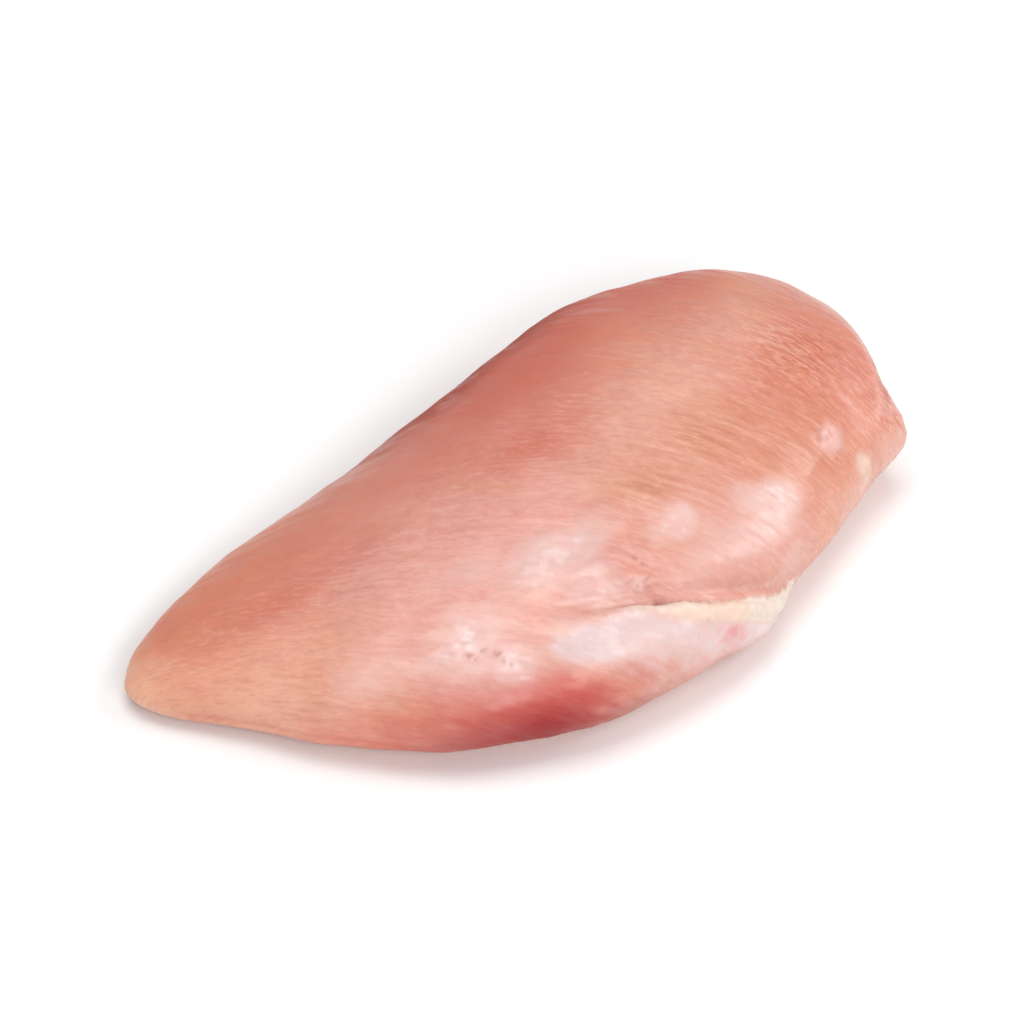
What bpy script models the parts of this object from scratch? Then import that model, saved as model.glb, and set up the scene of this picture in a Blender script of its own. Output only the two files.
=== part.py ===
"""Raw chicken breast fillet: one solid, skinless, lying smooth side up on its flat cut side.

The fillet is a round body that starts as a cube, is divided and blown up to a ball, and is then laid
over sections that change from the thin tip to the thick shoulder. The relief comes last: the crease
under the wing lobe with its strip of fat, the layer that swells out below it, the valleys between the
muscle's bundles, the tendon's stump and the flap at the wing corner.

Frame: metres, +X from the tip to the shoulder, -Y to the wing side, +Z up, origin under the middle.
Sizes are in millimetres until the mesh is scaled at the end.
"""

import bmesh
import bpy
import numpy as np

MM = 0.001

# Plan outline at the widest level of the sides (along, across), from the tip to the shoulder.
TIP = (-91.5, 10.5)
SHOULDER = (92.0, 6.0)
WING_SIDE = (
    (-89.5, 4), (-82, -5), (-63, -26.5), (-48, -40), (-31, -49), (-8, -54), (22, -52), (48, -42.5), (70, -32),
    (80, -27.5), (85.5, -24.8), (86.5, -16.5), (89, -7),
)
KEEL_SIDE = ((-87.5, 16.5), (-78, 22.5), (-58, 30), (-28, 34.5), (5, 41.5), (36, 48.5), (64, 46.5), (84, 33))

# Sections: share of the way from tip to shoulder, then the heights of the crown, of the wing side's
# widest level and of the keel side's.
SECTIONS = (
    (0.00, 4.5, 4.5, 4.5),
    (0.08, 10.5, 5.0, 4.5),
    (0.20, 17.0, 8.0, 5.0),
    (0.35, 25.0, 12.5, 6.5),
    (0.50, 31.0, 14.0, 8.0),
    (0.65, 33.0, 12.5, 9.0),
    (0.80, 31.5, 13.5, 10.0),
    (0.92, 26.0, 14.5, 12.0),
    (0.97, 22.0, 14.5, 13.0),
    (1.00, 14.0, 14.0, 14.0),
)
WING_FULLNESS, KEEL_FULLNESS = 2.0, 2.2  # of the section above that level: 2 is an ellipse, more is squarer
ROLL_WIDTH = 10.0  # how far the side tucks under before it lies on the table
MOST_ROLL = 0.55  # of half the section's width, near the ends
END_ROUNDING = 0.07  # share of the way over which the underside comes down at each end

# Routes on the surface (along, across, up), each from its first point to its last.
CREASE = ((-22, -31, 25), (-13, -35, 26), (-5, -38, 26), (6, -42, 25), (14, -45, 23), (24, -47, 20), (34, -47, 15),
          (46, -43, 9))
CREASE_FADE_IN, CREASE_FADE_OUT = 0.4, 0.15  # shares of its length
CREASE_DEPTH, CREASE_HALF_WIDTH = 2.9, 2.3
LOBE_SWELL, LOBE_OFFSET, LOBE_HALF_WIDTH = 1.4, -6.5, 5.5  # the wing lobe, above the crease
FLAP_SWELL, FLAP_OFFSET, FLAP_HALF_WIDTH = 2.0, 8.0, 6.0  # the layer below the crease
FAT_SWELL, FAT_OFFSET, FAT_HALF_WIDTH = 0.7, 3.0, 1.8  # the strip of fat on that layer's upper edge
FAT_FROM, FAT_TO, FAT_FADE = 0.35, 0.85, 0.1

GROOVE_FADE = 0.3  # share of its length over which each groove fades at both ends

LOBE_EDGE = ((4, -14, 31.5), (2, -24, 30), (2, -32, 29), (5, -41, 26))
LOBE_EDGE_DEPTH, LOBE_EDGE_HALF_WIDTH = 0.9, 2.6
LOBE_VALLEY = ((29, -21, 31.5), (28, -27, 30), (25, -32, 29), (20, -39, 27))
LOBE_VALLEY_DEPTH, LOBE_VALLEY_HALF_WIDTH = 0.6, 2.4
SHOULDER_FOLD = ((87, 0, 26), (86, -10, 25), (83, -17, 22), (79, -23, 20))
SHOULDER_FOLD_DEPTH, SHOULDER_FOLD_HALF_WIDTH = 0.7, 2.2
TIP_LIP = ((-91, 6, 4), (-82, -4, 5), (-73, -14, 6), (-62, -25, 6.5), (-48, -36, 7))
TIP_LIP_DEPTH, TIP_LIP_HALF_WIDTH = 0.7, 1.9

# Bumps: the place, how far it is pushed out and which way, and the radius.
FAT_LUMP, FAT_LUMP_PUSH, FAT_LUMP_RADIUS = (31, -48, 13), (0.0, -0.5, 0.3), 4.5
TENDON, TENDON_PUSH, TENDON_RADIUS = (63, -23, 26), (0.4, -0.8, 1.2), 3.6
WING_CORNER, WING_CORNER_PUSH, WING_CORNER_RADIUS = (86, -25, 13), (1.3, -1.5, 0.0), 4.5

# Slow waves of the whole surface: height, and the lengths along and across.
WAVES = ((0.3, 46.0, 33.0), (0.2, 27.0, 41.0), (0.12, 19.0, 23.0))

STRIPS = (64, 32, 18)  # of the box that becomes the ball: along, across, up
BOX_REACH = (2.0, 1.0, 1.0)  # how far it reaches each way
WING_CROWDING = 0.3  # how much the strips on the wing side's upper half crowd together
FULL_RELIEF_ABOVE = 3.0  # the relief dies away from this height down to the table
SOFTENING, SOFTENED_ABOVE = 0.5, 2.0  # how much the surface is evened out, and above what height
CURVE_STEPS = 40
FLOOR_GAP = 1e-6  # nearer than this to the table is on it

FLESH_COLOUR = (0.78, 0.42, 0.33, 1.0)
FLESH_ROUGHNESS = 0.35


def clear_scene():
    """Removes every object of the startup scene."""
    for obj in list(bpy.data.objects):
        bpy.data.objects.remove(obj, do_unlink=True)


def smooth_span(p0, p1, p2, p3):
    """Catmull-Rom points from p1 up to p2."""
    t = np.linspace(0, 1, CURVE_STEPS, endpoint=False)[:, None]
    line = 2 * p1 + (p2 - p0) * t
    bend = (2 * p0 - 5 * p1 + 4 * p2 - p3) * t**2
    turn = (3 * p1 - p0 - 3 * p2 + p3) * t**3
    return (line + bend + turn) / 2


def closed_curve(points):
    """A smooth closed curve through the points."""
    given = np.array(points, float)
    count = len(given)
    spans = [smooth_span(*(given[(i + k) % count] for k in (-1, 0, 1, 2))) for i in range(count)]
    return np.concatenate(spans)


def open_curve(points):
    """A smooth curve from the first point to the last."""
    given = np.array(points, float)
    padded = np.concatenate([given[:1], given, given[-1:]])
    spans = [smooth_span(*padded[i : i + 4]) for i in range(len(given) - 1)]
    return np.concatenate([*spans, given[-1:]])


def lengths_along(curve):
    """Share of the curve's length at each of its points."""
    steps = np.linalg.norm(np.diff(curve, axis=0), axis=1)
    reached = np.concatenate([[0], np.cumsum(steps)])
    return reached / reached[-1]


def at_shares(curve, shares):
    """The curve's points at shares of its length."""
    reached = lengths_along(curve)
    return np.stack([np.interp(shares, reached, curve[:, k]) for k in range(curve.shape[1])], axis=1)


def plan_edges():
    """The outline's wing side and keel side, each from the tip to the shoulder."""
    loop = closed_curve([TIP, *WING_SIDE, SHOULDER, *reversed(KEEL_SIDE)])
    turn = (len(WING_SIDE) + 1) * CURVE_STEPS
    wing = loop[: turn + 1]
    keel = np.concatenate([loop[turn:], loop[:1]])[::-1]
    return wing, keel


def section_heights(shares):
    """Crown, wing level and keel level at shares of the way, on smooth curves."""
    curve = open_curve(SECTIONS)
    return (np.interp(shares, curve[:, 0], curve[:, k]) for k in (1, 2, 3))


def divided_ball():
    """A box divided into even strips and blown up to a ball of radius 1."""
    mesh = bmesh.new()
    bmesh.ops.create_cube(mesh, size=2.0)
    for axis, strips in enumerate(STRIPS):
        along = [e for e in mesh.edges if abs(e.verts[0].co[axis] - e.verts[1].co[axis]) > FLOOR_GAP]
        bmesh.ops.subdivide_edges(mesh, edges=along, cuts=strips - 1, use_grid_fill=True)
    for vert in mesh.verts:
        vert.co = [np.tan(value * np.arctan(reach)) for value, reach in zip(vert.co, BOX_REACH)]
        vert.co.normalize()
    return mesh


def upper_section(angles):
    """Across and up, from -1 to 1, on the part of the section above its widest level."""
    cos, sin = np.cos(angles), np.sin(angles)
    fullness = np.where(cos < 0, WING_FULLNESS, KEEL_FULLNESS)
    reach = (abs(cos) ** fullness + abs(sin) ** fullness) ** (-1 / fullness)
    return reach * cos, reach * sin


def lower_section(angles, roll):
    """Across, and down from 0 to 1, on the part below: the side tucks under, then lies flat."""
    side = np.sign(np.cos(angles))
    turned = np.minimum(-angles, np.pi + angles) / (np.pi / 4)
    bend = np.minimum(turned, 1) * np.pi / 2
    tucked = 1 - roll * (1 - np.cos(bend))
    inward = np.maximum(turned - 1, 0)
    return side * tucked * (1 - inward), np.sin(bend)


def body_points(ball):
    """The plain body's points for the ball's."""
    shares = np.arccos(np.clip(-ball[:, 0], -1, 1)) / np.pi
    angles = np.arctan2(ball[:, 2], ball[:, 1])
    above = angles >= 0
    angles += np.where(above, WING_CROWDING * np.sin(angles) ** 2, 0)
    wing_edge, keel_edge = plan_edges()
    wing, keel = at_shares(wing_edge, shares), at_shares(keel_edge, shares)
    crown, wing_level, keel_level = section_heights(shares)
    half_width = np.maximum(np.linalg.norm(keel - wing, axis=1) / 2, FLOOR_GAP)
    high_across, up = upper_section(angles)
    low_across, down = lower_section(angles, np.minimum(ROLL_WIDTH / half_width, MOST_ROLL))
    across = np.where(above, high_across, low_across)
    level = wing_level + (keel_level - wing_level) * (1 + across) / 2
    sinking = np.sin(np.clip(np.minimum(shares, 1 - shares) / END_ROUNDING, 0, 1) * np.pi / 2)
    rise = (crown - (wing_level + keel_level) / 2) * up
    height = np.where(above, level + rise, level * (1 - sinking * down))
    plan = wing + (keel - wing) * ((1 + across) / 2)[:, None]
    return np.column_stack([plan, height])


def ramp(values, low, high):
    """0 below low, 1 above high, smooth between."""
    t = np.clip((values - low) / (high - low), 0, 1)
    return t * t * (3 - 2 * t)


def hump(values, middle, half_width):
    """A bell of height 1."""
    return np.exp(-(((values - middle) / half_width) ** 2))


class Surface:
    """Points and normals of the plain body, which the relief is worked out on."""

    def __init__(self, points, normals):
        self.points = points
        self.normals = normals

    def beside(self, route):
        """Distance from a route, above zero on its right seen from outside, and share along it."""
        curve = open_curve(route)
        tangents = np.gradient(curve, axis=0)
        gaps = np.linalg.norm(self.points[:, None] - curve[None], axis=2)
        nearest = gaps.argmin(axis=1)
        away = self.points - curve[nearest]
        away -= self.normals * (away * self.normals).sum(axis=1)[:, None]
        right = np.cross(tangents[nearest], self.normals)
        side = np.sign((right * away).sum(axis=1))
        return np.linalg.norm(away, axis=1) * side, lengths_along(curve)[nearest]

    def groove(self, route, depth, half_width):
        """A groove along a route, which fades out at both ends."""
        aside, along = self.beside(route)
        strength = ramp(along, 0, GROOVE_FADE) * ramp(1 - along, 0, GROOVE_FADE)
        return -depth * hump(aside, 0, half_width) * strength

    def crease(self):
        """The crease under the wing lobe, with the lobe above it and the fat and the layer below."""
        aside, along = self.beside(CREASE)
        strength = ramp(along, 0, CREASE_FADE_IN) * ramp(1 - along, 0, CREASE_FADE_OUT)
        fat = ramp(along, FAT_FROM - FAT_FADE, FAT_FROM) * ramp(-along, -FAT_TO - FAT_FADE, -FAT_TO)
        return (
            strength * LOBE_SWELL * hump(aside, LOBE_OFFSET, LOBE_HALF_WIDTH)
            - strength * CREASE_DEPTH * hump(aside, 0, CREASE_HALF_WIDTH)
            + strength * FLAP_SWELL * hump(aside, FLAP_OFFSET, FLAP_HALF_WIDTH)
            + fat * FAT_SWELL * hump(aside, FAT_OFFSET, FAT_HALF_WIDTH)
        )

    def waves(self):
        """Slow swells of the whole surface."""
        x, y, z = self.points.T
        out = np.zeros(len(x))
        for order, (height, along, across) in enumerate(WAVES):
            out += height * np.sin(2 * np.pi * x / along + order) * np.sin(2 * np.pi * (y + z) / across + 2 * order)
        return out

    def bump(self, place, push, radius):
        """A push in one direction round a place."""
        gaps = np.linalg.norm(self.points - np.array(place, float), axis=1)
        return hump(gaps, 0, radius)[:, None] * np.array(push, float)

    def relief(self):
        """All the relief along the normals."""
        return (
            self.crease()
            + self.groove(LOBE_EDGE, LOBE_EDGE_DEPTH, LOBE_EDGE_HALF_WIDTH)
            + self.groove(LOBE_VALLEY, LOBE_VALLEY_DEPTH, LOBE_VALLEY_HALF_WIDTH)
            + self.groove(SHOULDER_FOLD, SHOULDER_FOLD_DEPTH, SHOULDER_FOLD_HALF_WIDTH)
            + self.groove(TIP_LIP, TIP_LIP_DEPTH, TIP_LIP_HALF_WIDTH)
            + self.waves()
        )

    def pushed(self, relief):
        """The points with the relief and the bumps; what lies on the table stays there."""
        pushes = (
            self.normals * relief[:, None]
            + self.bump(FAT_LUMP, FAT_LUMP_PUSH, FAT_LUMP_RADIUS)
            + self.bump(TENDON, TENDON_PUSH, TENDON_RADIUS)
            + self.bump(WING_CORNER, WING_CORNER_PUSH, WING_CORNER_RADIUS)
        )
        return self.points + pushes * ramp(self.points[:, 2], 0, FULL_RELIEF_ABOVE)[:, None]


def vertex_array(mesh, field):
    """One field of all the vertices, as an array."""
    return np.array([getattr(vert, field) for vert in mesh.verts])


def set_points(mesh, points):
    """Moves the vertices to the points."""
    for vert, point in zip(mesh.verts, points):
        vert.co = point


def split_quads(mesh, relief):
    """Splits each quad between the corners whose relief is more alike, so that edges follow the grooves."""
    for face in list(mesh.faces):
        a, b, c, d = face.verts
        across_ac = abs(relief[a.index] - relief[c.index])
        across_bd = abs(relief[b.index] - relief[d.index])
        ends = (a, c) if across_ac < across_bd else (b, d)
        bmesh.utils.face_split(face, *ends)


def shape_fillet(mesh):
    """Moves the ball's points to the fillet, centred over the origin and scaled to metres."""
    set_points(mesh, body_points(vertex_array(mesh, "co")))
    mesh.normal_update()
    plain = Surface(vertex_array(mesh, "co"), vertex_array(mesh, "normal"))
    relief = plain.relief()
    set_points(mesh, plain.pushed(relief))
    split_quads(mesh, relief)
    raised = [vert for vert in mesh.verts if vert.co.z > SOFTENED_ABOVE]
    bmesh.ops.smooth_vert(mesh, verts=raised, factor=SOFTENING, use_axis_x=True, use_axis_y=True, use_axis_z=True)
    points = vertex_array(mesh, "co")
    low, high = points.min(axis=0), points.max(axis=0)
    middle = (low + high) / 2
    middle[2] = low[2]
    set_points(mesh, (points - middle) * MM)


def finish_faces(mesh):
    """Makes one face of all those that lie on the table, and triangles of the others."""
    flat = [face for face in mesh.faces if all(abs(vert.co.z) < FLOOR_GAP * MM for vert in face.verts)]
    bmesh.ops.dissolve_faces(mesh, faces=flat, use_verts=True)
    bmesh.ops.recalc_face_normals(mesh, faces=mesh.faces)
    bmesh.ops.triangulate(mesh, faces=mesh.faces)


def flesh_material():
    """Raw breast meat: pale pink and moist."""
    material = bpy.data.materials.new("raw_flesh")
    material.use_nodes = True
    shader = material.node_tree.nodes["Principled BSDF"]
    shader.inputs["Base Color"].default_value = FLESH_COLOUR
    shader.inputs["Roughness"].default_value = FLESH_ROUGHNESS
    shader.inputs["Metallic"].default_value = 0.0
    return material


def build_fillet():
    """Makes the fillet's object."""
    mesh = divided_ball()
    shape_fillet(mesh)
    finish_faces(mesh)
    data = bpy.data.meshes.new("fillet")
    mesh.to_mesh(data)
    mesh.free()
    data.shade_smooth()
    data.materials.append(flesh_material())
    fillet = bpy.data.objects.new("fillet", data)
    group = bpy.data.collections.new("chicken_breast_fillet")
    bpy.context.scene.collection.children.link(group)
    group.objects.link(fillet)
    return fillet


def main():
    """Builds the object in an empty scene."""
    clear_scene()
    build_fillet()


main()
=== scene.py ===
"""A raw chicken breast fillet, skinless and wet, on a pale table in soft light.

The fillet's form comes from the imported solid. Here it gets a fine skin with the muscle's fibres, the sharp
crease with its strip of fat, the thin membrane, the tendon's end and the wrinkles, and the flesh's colours
and wet shine. Lengths are in millimetres until the skin is put back in metres.
"""

import logging
import math
from dataclasses import dataclass
from enum import StrEnum, auto
from functools import cached_property

import bmesh
import bpy
import numpy as np
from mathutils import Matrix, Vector, noise


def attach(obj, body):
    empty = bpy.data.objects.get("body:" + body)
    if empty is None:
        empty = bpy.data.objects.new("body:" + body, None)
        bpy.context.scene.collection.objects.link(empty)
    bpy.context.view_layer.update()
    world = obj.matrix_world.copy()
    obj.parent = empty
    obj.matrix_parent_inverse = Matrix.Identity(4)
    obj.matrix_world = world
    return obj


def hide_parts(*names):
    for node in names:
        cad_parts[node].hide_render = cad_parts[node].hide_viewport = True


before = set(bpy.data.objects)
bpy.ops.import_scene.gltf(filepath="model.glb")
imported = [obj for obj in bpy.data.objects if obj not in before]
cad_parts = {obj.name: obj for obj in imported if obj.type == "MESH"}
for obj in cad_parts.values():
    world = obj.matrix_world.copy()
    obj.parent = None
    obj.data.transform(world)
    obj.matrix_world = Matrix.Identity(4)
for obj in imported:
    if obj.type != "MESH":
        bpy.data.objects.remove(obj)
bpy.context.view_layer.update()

MM = 0.001
LOG = logging.getLogger("fillet")

Array = np.ndarray
Colour = tuple[float, float, float, float]
Point = tuple[float, float, float]
Run = tuple[float, float]


class Patch(StrEnum):
    """Named parts of the skin's surface, each kept on the mesh as a field from 0 to 1."""

    FAT = auto()
    FAT_STRIP = auto()
    FILM = auto()
    SHINE = auto()
    MEMBRANE = auto()
    RAW = auto()
    BLOOD = auto()
    FAR_SIDE = auto()
    FAR_EDGE = auto()
    CALM = auto()
    PINK = auto()
    TIP = auto()
    TIP_END = auto()
    PALE = auto()
    SHOULDER = auto()
    CORDED = auto()
    WRINKLED = auto()
    BRUISE = auto()
    MARKS = auto()
    HOLLOW = auto()
    TENDON_KNOB = auto()
    TENDON_HEART = auto()
    STRANDS = auto()
    LIP_LINE = auto()
    CUT_SIDE = auto()


FIBRE_FIELD = "fibre_way"


def paint(red: float, green: float, blue: float) -> Colour:
    """Turns a paint's red, green and blue of 0 to 255 into light.

    Args:
        red: How red the paint looks.
        green: How green it looks.
        blue: How blue it looks.

    Returns:
        The colour as a shader takes it, opaque.
    """
    parts = [value / 255 for value in (red, green, blue)]
    light = [part / 12.92 if part <= 0.04045 else ((part + 0.055) / 1.055) ** 2.4 for part in parts]
    return (*light, 1.0)


def ramp(values: Array, low: float, high: float) -> Array:
    """Rises smoothly from 0 to 1.

    Args:
        values: What the rise follows.
        low: Where it starts; it may lie above the end, and then the rise is a fall.
        high: Where it ends.

    Returns:
        A number from 0 to 1 for each value.
    """
    share = np.clip((values - low) / (high - low), 0, 1)
    return share * share * (3 - 2 * share)


def hump(values: Array, half_width: float) -> Array:
    """Makes a bell of height 1 round zero, which falls to about a third at half its width."""
    return np.exp(-((values / half_width) ** 2))


def grain(places: Array, octaves: int = 2, seed: float = 0.0) -> Array:
    """Makes smooth noise.

    Args:
        places: Points, one row each, in units of the grain's size.
        octaves: How many finer layers are added up.
        seed: Moves the pattern along.

    Returns:
        A number of about -1 to 1 for each point.
    """
    shift = Vector((seed, 3.7 * seed, -1.9 * seed))
    return np.array([noise.fractal(Vector(place) + shift, 1.0, 2.0, octaves) for place in places.tolist()])


class Surface:
    """The skin's points and normals, and where each lies along the muscle's fibres and across them."""

    MIDDLE_BINS = 24
    AXIS_DEPTH = 16.0
    ROUNDNESS = 45.0
    FIBRE_WAY = (0.86, -0.51)
    SLANT = 0.95
    # Each bend of the fibres: how sharp it is, where along the fillet it starts and how gently it sets in.
    BENDS = ((-0.35, -38.0, 10.0), (0.45, 5.0, 14.0), (1.5, 64.0, 6.0))
    WAVER, WAVER_SIZE = 0.5, 14.0
    SWAY, SWAY_SIZE = 2.6, 11.0

    def __init__(self, mesh: bpy.types.Mesh) -> None:
        """Reads the mesh's points and normals, and makes the noises that give edges an uneven run.

        Args:
            mesh: The skin's mesh, in metres.
        """
        self.points = self.read(mesh.vertices, "co") / MM
        self.normals = self.read(mesh.vertices, "normal")
        self.seen: dict[Route, tuple[Array, Array, Array]] = {}
        self.rough = self.mottle(5.5, 3, 11.0)
        self.fine = self.mottle(2.2, 2, 12.0)
        self.cloud = self.mottle(16, 2, 14.0)
        self.streaky = self.streaks(9, 1.5, 3, 13.0)
        self.flecked = self.streaks(3.6, 1.2, 2, 15.0)

    @staticmethod
    def read(vertices: bpy.types.MeshVertices, name: str) -> Array:
        """Reads one field of three numbers from the vertices.

        Args:
            vertices: The mesh's vertices.
            name: The field's name.

        Returns:
            One row for each vertex.
        """
        flat = np.empty(len(vertices) * 3)
        vertices.foreach_get(name, flat)
        return flat.reshape(-1, 3)

    @cached_property
    def sides(self) -> tuple[Array, Array]:
        """Finds how far across the fillet's two edges lie.

        Returns:
            The wing side's edge and the keel side's edge, for each point.
        """
        along, across = self.points[:, 0], self.points[:, 1]
        edges = np.linspace(along.min(), along.max(), self.MIDDLE_BINS + 1)
        inside = [across[(along >= low) & (along <= high)] for low, high in zip(edges[:-1], edges[1:])]
        centres = (edges[:-1] + edges[1:]) / 2
        wing = np.interp(along, centres, [part.min() for part in inside])
        keel = np.interp(along, centres, [part.max() for part in inside])
        return wing, keel

    @cached_property
    def middle(self) -> Array:
        """How far across the muscle's middle line lies, for each point."""
        wing, keel = self.sides
        return (wing + keel) / 2

    @cached_property
    def share_across(self) -> Array:
        """Where each point lies across, from -1 at the wing side's edge to 1 at the keel side's."""
        wing, keel = self.sides
        return (self.points[:, 1] - self.middle) * 2 / (keel - wing)

    @cached_property
    def fibres(self) -> Array:
        """Finds where each point lies in the muscle's grain.

        Returns:
            The place along the fibres and across them, in millimetres, for each point.
        """
        x, y, z = self.points.T
        angle = np.arctan2(z + self.AXIS_DEPTH, y - self.middle)
        round_way = self.middle + self.ROUNDNESS * (math.pi / 2 - angle)
        turn = sum(amount * span * np.logaddexp(0, (x - start) / span) for amount, start, span in self.BENDS)
        waver = self.WAVER * self.mottle(self.WAVER_SIZE, 2, 21.0)
        along = self.points[:, :2] @ np.array(self.FIBRE_WAY)
        return np.column_stack([along, round_way + self.SLANT * x + turn + waver])

    def streaks(self, length: float, width: float, octaves: int = 2, seed: float = 0.0) -> Array:
        """Makes noise of about -1 to 1 that is drawn out along the fibres."""
        along, across = self.fibres.T
        return grain(np.column_stack([along / length, across / width, along * 0]), octaves, seed)

    def mottle(self, size: float, octaves: int = 2, seed: float = 0.0) -> Array:
        """Makes noise of about -1 to 1 whose blotches are of one size every way."""
        return grain(self.points / size, octaves, seed)

    @cached_property
    def unsteady(self) -> Array:
        """The points, each moved a little by noise, so that what is drawn with them has uneven edges."""
        moves = [self.mottle(self.SWAY_SIZE, 3, seed) for seed in (31.0, 33.0, 35.0)]
        return self.points + self.SWAY * np.column_stack(moves)

    def near(self, place: Point, reach: Point, even: bool = False) -> Array:
        """Makes a soft patch.

        Args:
            place: Its middle.
            reach: How far it reaches along, across and up.
            even: Whether it is a true oval; otherwise its edge is uneven.

        Returns:
            A number from 0 to 1 for each point.
        """
        gaps = ((self.points if even else self.unsteady) - np.array(place)) / np.array(reach)
        return np.exp(-(gaps**2).sum(axis=1))

    def beside(self, route: "Route") -> tuple[Array, Array, Array]:
        """Finds each point's place beside a route.

        Args:
            route: A line on the surface.

        Returns:
            The distance, above zero on the right of the route seen from outside, the share of the way along
            it, and the direction to its right.
        """
        if route not in self.seen:
            self.seen[route] = route.measure(self.points, self.normals)
        return self.seen[route]


@dataclass(frozen=True)
class Route:
    """A smooth line over the surface, from its first point to its last."""

    places: tuple[Point, ...]

    STEPS = 24
    BATCH = 8000

    def curve(self) -> Array:
        """Fills in the line between its points.

        Returns:
            Points close together along it.
        """
        given = np.array([self.places[0], *self.places, self.places[-1]], float)
        share = np.linspace(0, 1, self.STEPS, endpoint=False)[:, None]
        spans = []
        for before, start, end, after in zip(given, given[1:], given[2:], given[3:]):
            line = 2 * start + (end - before) * share
            bend = (2 * before - 5 * start + 4 * end - after) * share**2
            turn = (3 * start - before - 3 * end + after) * share**3
            spans.append((line + bend + turn) / 2)
        return np.concatenate([*spans, given[-1:]])

    def measure(self, points: Array, normals: Array) -> tuple[Array, Array, Array]:
        """Finds where points lie beside the line.

        Args:
            points: The points.
            normals: The surface's normals there.

        Returns:
            The distances, the shares along the line and the directions to its right.
        """
        curve = self.curve()
        nearest = np.concatenate(
            [
                ((points[low : low + self.BATCH, None] - curve[None]) ** 2).sum(axis=2).argmin(axis=1)
                for low in range(0, len(points), self.BATCH)
            ]
        )
        lengths = np.concatenate([[0], np.cumsum(np.linalg.norm(np.diff(curve, axis=0), axis=1))])
        away = points - curve[nearest]
        away -= normals * (away * normals).sum(axis=1)[:, None]
        right = np.cross(np.gradient(curve, axis=0)[nearest], normals)
        right /= np.maximum(np.linalg.norm(right, axis=1), 1e-9)[:, None]
        side = np.sign((right * away).sum(axis=1))
        return np.linalg.norm(away, axis=1) * side, (lengths / lengths[-1])[nearest], right


@dataclass(frozen=True)
class Band:
    """A groove or a swell along a route."""

    route: Route
    height: float
    half_width: float
    offset: float = 0.0
    start: float = 0.0
    end: float = 1.0
    fade: float = 0.2

    def strength(self, surface: Surface) -> Array:
        """Says how much of the band there is.

        Args:
            surface: The skin before the relief.

        Returns:
            A number from 0 to 1 for each point.
        """
        aside, share, _ = surface.beside(self.route)
        ends = ramp(share, self.start, self.start + self.fade) * ramp(share, self.end, self.end - self.fade)
        return hump(aside - self.offset, self.half_width) * ends

    def rise(self, surface: Surface) -> Array:
        """Says how far the band lifts each point."""
        return self.height * self.strength(surface)


@dataclass(frozen=True)
class Spot:
    """A dent or a lump, which fades out evenly all round."""

    place: Point
    height: float
    reach: Point

    def rise(self, surface: Surface) -> Array:
        """Says how far the spot lifts each point."""
        return self.height * surface.near(self.place, self.reach, even=True)


@dataclass(frozen=True)
class Blotch:
    """A soft patch with an uneven edge, for a colour or for wetness."""

    place: Point
    reach: Point
    weight: float = 1.0
    full_at: float | None = None

    def share(self, surface: Surface) -> Array:
        """Says how much of the blotch there is at each point, up to its weight."""
        soft = surface.near(self.place, self.reach)
        return self.weight * (soft if self.full_at is None else ramp(soft, 0, self.full_at))


def strongest(blotches: tuple[Blotch, ...], surface: Surface) -> Array:
    """Says how much of the strongest of several blotches there is at each point."""
    return np.maximum.reduce([blotch.share(surface) for blotch in blotches])


def highest(features: tuple[Band | Spot, ...], surface: Surface) -> Array:
    """Says how high the highest of several features is at each point, from 0 to 1."""
    return np.clip(np.maximum.reduce([feature.rise(surface) for feature in features]), 0, 1)


@dataclass(frozen=True)
class Stretch:
    """A stretch of the wing side: below what height it shows, and where along it starts and ends."""

    below: Run
    start: Run
    end: Run

    def share(self, height: Array, start: Array, end: Array) -> Array:
        """Says how much of the stretch there is at each point."""
        return ramp(height, *self.below) * ramp(start, *self.start) * ramp(end, *self.end)


@dataclass(frozen=True)
class TendonEnd:
    """The tendon's cut end: a pale knob with a small dark heart to one side."""

    knob: Spot
    heart: Spot

    def knob_share(self, surface: Surface) -> Array:
        """Says how much each point belongs to the pale knob."""
        oval = surface.near(self.knob.place, self.knob.reach, even=True)
        return ramp(oval + 0.2 * surface.fine, 0.2, 0.9)

    def heart_share(self, surface: Surface) -> Array:
        """Says how much each point belongs to the heart."""
        inner = self.heart.rise(surface) / self.heart.height + 0.3 * surface.mottle(1.3, 2, 19.0)
        return ramp(inner, 0.3, 0.55) * ramp(inner, 1.0, 0.75)

    def rise(self, surface: Surface) -> Array:
        """Says how far the tendon's end lifts each point."""
        return self.knob.height * self.knob_share(surface) + self.heart.rise(surface)


CREASE = Route(
    (
        (-22, -31, 25), (-13, -35, 26), (-5, -38, 26), (6, -41.6, 25.6),
        (14, -44.4, 23.8), (24, -46.4, 20.8), (34, -46.6, 15.6), (46, -43, 9),
    )
)
LOBE_EDGE = Route(((4, -14, 31.5), (2, -24, 30), (2, -32, 29), (5, -41, 26)))
TEAR_ONE = Route(
    (
        (-34.4, -29.5, 22.3), (-33.2, -32.2, 22.2), (-30.5, -32.6, 22.7),
        (-28.9, -34.7, 22.8), (-28.5, -37.4, 22.3), (-27.5, -39.4, 21.8),
    )
)
TEAR_TWO = Route(
    ((-7, -39, 26.2), (-4.3, -41, 26.2), (-1.3, -42, 26.2), (2.4, -42, 25.9), (6.5, -41.5, 24.6))
)
TEAR_THREE = Route(
    (
        (6.4, -27.5, 30.5), (6.4, -31.9, 29.8), (7.1, -35.4, 28.8), (6.8, -37, 27.6),
        (4.9, -37.6, 26.6), (2.4, -38, 25.6), (1.7, -40.2, 25.3),
    )
)
SHOULDER_FOLD = Route(((87, 0, 26), (86, -10, 25), (83, -17, 22), (79, -23, 20)))
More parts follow.
